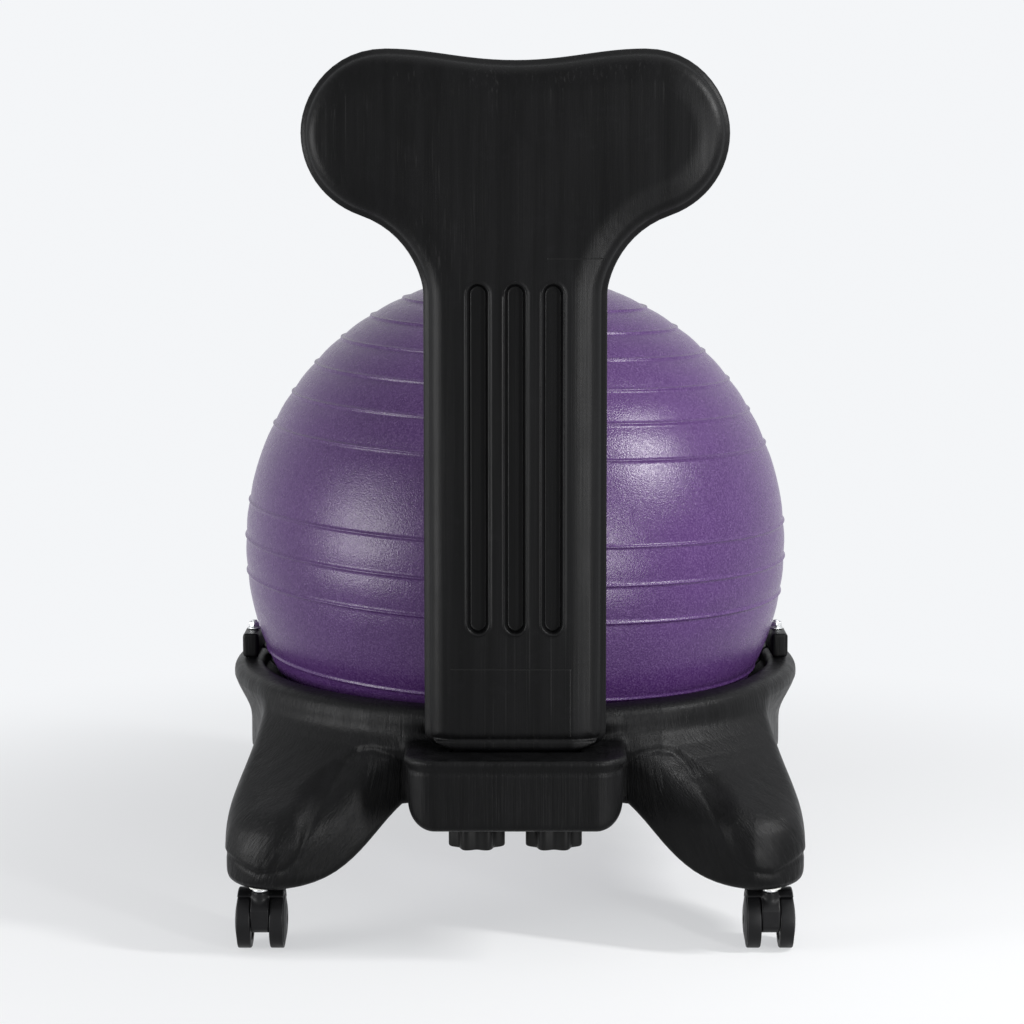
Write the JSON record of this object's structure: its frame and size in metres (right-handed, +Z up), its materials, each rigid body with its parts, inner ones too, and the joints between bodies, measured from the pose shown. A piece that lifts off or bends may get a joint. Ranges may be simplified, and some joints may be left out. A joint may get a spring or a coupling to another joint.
{
  "type": "balance ball chair",
  "caption": "Balance ball chair: an inflated ball in a ring base on swivel casters, with a plug-in lobed backrest held by star knobs.",
  "frame": {"origin": "on the floor under the middle of the chair's outer box", "axes": "+Z up; +Y the way the person sits and faces, so the backrest is at -Y; +X to that person's right"},
  "size_m": [0.544, 0.6494, 0.787],
  "materials": {
    "base_plastic": "black blow-moulded plastic, soft sheen, fine scuffs",
    "backrest_plastic": "black blow-moulded plastic, soft sheen",
    "knob_plastic": "black moulded plastic",
    "caster_plastic": "black nylon",
    "plug_plastic": "off-white moulded plastic",
    "ball_vinyl": "purple ribbed vinyl with a soft gloss",
    "zinc_steel": "zinc plated",
    "brass_insert": "plain brass"
  },
  "bodies": {
    "root": {"front_base": "base_plastic", "rear_base": "base_plastic", "backrest": "backrest_plastic", "threaded_insert_left": "brass_insert", "threaded_insert_right": "brass_insert", "lap_bolt_left": "zinc_steel", "lap_nut_left": "zinc_steel", "lap_washer_top_left": "zinc_steel", "lap_washer_bottom_left": "zinc_steel", "lap_bolt_right": "zinc_steel", "lap_nut_right": "zinc_steel", "lap_washer_top_right": "zinc_steel", "lap_washer_bottom_right": "zinc_steel", "caster_socket_rear_left": "plug_plastic", "caster_socket_rear_right": "plug_plastic", "caster_socket_front_left": "plug_plastic", "caster_socket_front_right": "plug_plastic"},
    "ball": {"ball": "ball_vinyl"},
    "valve_plug": {"valve_plug": "plug_plastic"},
    "knob_left": {"knob_head_left": "knob_plastic", "knob_stud_left": "zinc_steel"},
    "knob_right": {"knob_head_right": "knob_plastic", "knob_stud_right": "zinc_steel"},
    "caster_rear_left": {"caster_stem_rear_left": "zinc_steel", "caster_frame_rear_left": "caster_plastic", "caster_axle_rear_left": "zinc_steel"},
    "wheel_left_rear_left": {"wheel_left_rear_left": "caster_plastic"},
    "wheel_right_rear_left": {"wheel_right_rear_left": "caster_plastic"},
    "caster_rear_right": {"caster_stem_rear_right": "zinc_steel", "caster_frame_rear_right": "caster_plastic", "caster_axle_rear_right": "zinc_steel"},
    "wheel_left_rear_right": {"wheel_left_rear_right": "caster_plastic"},
    "wheel_right_rear_right": {"wheel_right_rear_right": "caster_plastic"},
    "caster_front_left": {"caster_stem_front_left": "zinc_steel", "caster_frame_front_left": "caster_plastic", "caster_axle_front_left": "zinc_steel"},
    "wheel_left_front_left": {"wheel_left_front_left": "caster_plastic"},
    "wheel_right_front_left": {"wheel_right_front_left": "caster_plastic"},
    "caster_front_right": {"caster_stem_front_right": "zinc_steel", "caster_frame_front_right": "caster_plastic", "caster_axle_front_right": "zinc_steel"},
    "wheel_left_front_right": {"wheel_left_front_right": "caster_plastic"},
    "wheel_right_front_right": {"wheel_right_front_right": "caster_plastic"}
  },
  "joints": [
    {"name": "ball_lift", "type": "slide", "parent": "root", "child": "ball", "axis": [0, 0, 1], "range_m": [0, 0.35]},
    {"name": "valve_pull", "type": "slide", "parent": "ball", "child": "valve_plug", "axis": [0, 0, -1], "range_m": [0, 0.022]},
    {"name": "knob_turn_left", "type": "hinge", "parent": "root", "child": "knob_left", "pos_m": [-0.0335, -0.27525, 0.11], "axis": [0, 0, 1], "continuous": true},
    {"name": "knob_turn_right", "type": "hinge", "parent": "root", "child": "knob_right", "pos_m": [0.0335, -0.27525, 0.11], "axis": [0, 0, 1], "continuous": true},
    {"name": "swivel_rear_left", "type": "hinge", "parent": "root", "child": "caster_rear_left", "pos_m": [-0.224, -0.26425, 0.05], "axis": [0, 0, 1], "continuous": true},
    {"name": "spin_left_rear_left", "type": "hinge", "parent": "caster_rear_left", "child": "wheel_left_rear_left", "pos_m": [-0.224, -0.25225, 0.025], "axis": [1, 0, 0], "continuous": true},
    {"name": "spin_right_rear_left", "type": "hinge", "parent": "caster_rear_left", "child": "wheel_right_rear_left", "pos_m": [-0.224, -0.25225, 0.025], "axis": [1, 0, 0], "continuous": true},
    {"name": "swivel_rear_right", "type": "hinge", "parent": "root", "child": "caster_rear_right", "pos_m": [0.224, -0.26425, 0.05], "axis": [0, 0, 1], "continuous": true},
    {"name": "spin_left_rear_right", "type": "hinge", "parent": "caster_rear_right", "child": "wheel_left_rear_right", "pos_m": [0.224, -0.25225, 0.025], "axis": [1, 0, 0], "continuous": true},
    {"name": "spin_right_rear_right", "type": "hinge", "parent": "caster_rear_right", "child": "wheel_right_rear_right", "pos_m": [0.224, -0.25225, 0.025], "axis": [1, 0, 0], "continuous": true},
    {"name": "swivel_front_left", "type": "hinge", "parent": "root", "child": "caster_front_left", "pos_m": [-0.224, 0.28775, 0.05], "axis": [0, 0, 1], "continuous": true},
    {"name": "spin_left_front_left", "type": "hinge", "parent": "caster_front_left", "child": "wheel_left_front_left", "pos_m": [-0.224, 0.29975, 0.025], "axis": [1, 0, 0], "continuous": true},
    {"name": "spin_right_front_left", "type": "hinge", "parent": "caster_front_left", "child": "wheel_right_front_left", "pos_m": [-0.224, 0.29975, 0.025], "axis": [1, 0, 0], "continuous": true},
    {"name": "swivel_front_right", "type": "hinge", "parent": "root", "child": "caster_front_right", "pos_m": [0.224, 0.28775, 0.05], "axis": [0, 0, 1], "continuous": true},
    {"name": "spin_left_front_right", "type": "hinge", "parent": "caster_front_right", "child": "wheel_left_front_right", "pos_m": [0.224, 0.29975, 0.025], "axis": [1, 0, 0], "continuous": true},
    {"name": "spin_right_front_right", "type": "hinge", "parent": "caster_front_right", "child": "wheel_right_front_right", "pos_m": [0.224, 0.29975, 0.025], "axis": [1, 0, 0], "continuous": true}
  ]
}
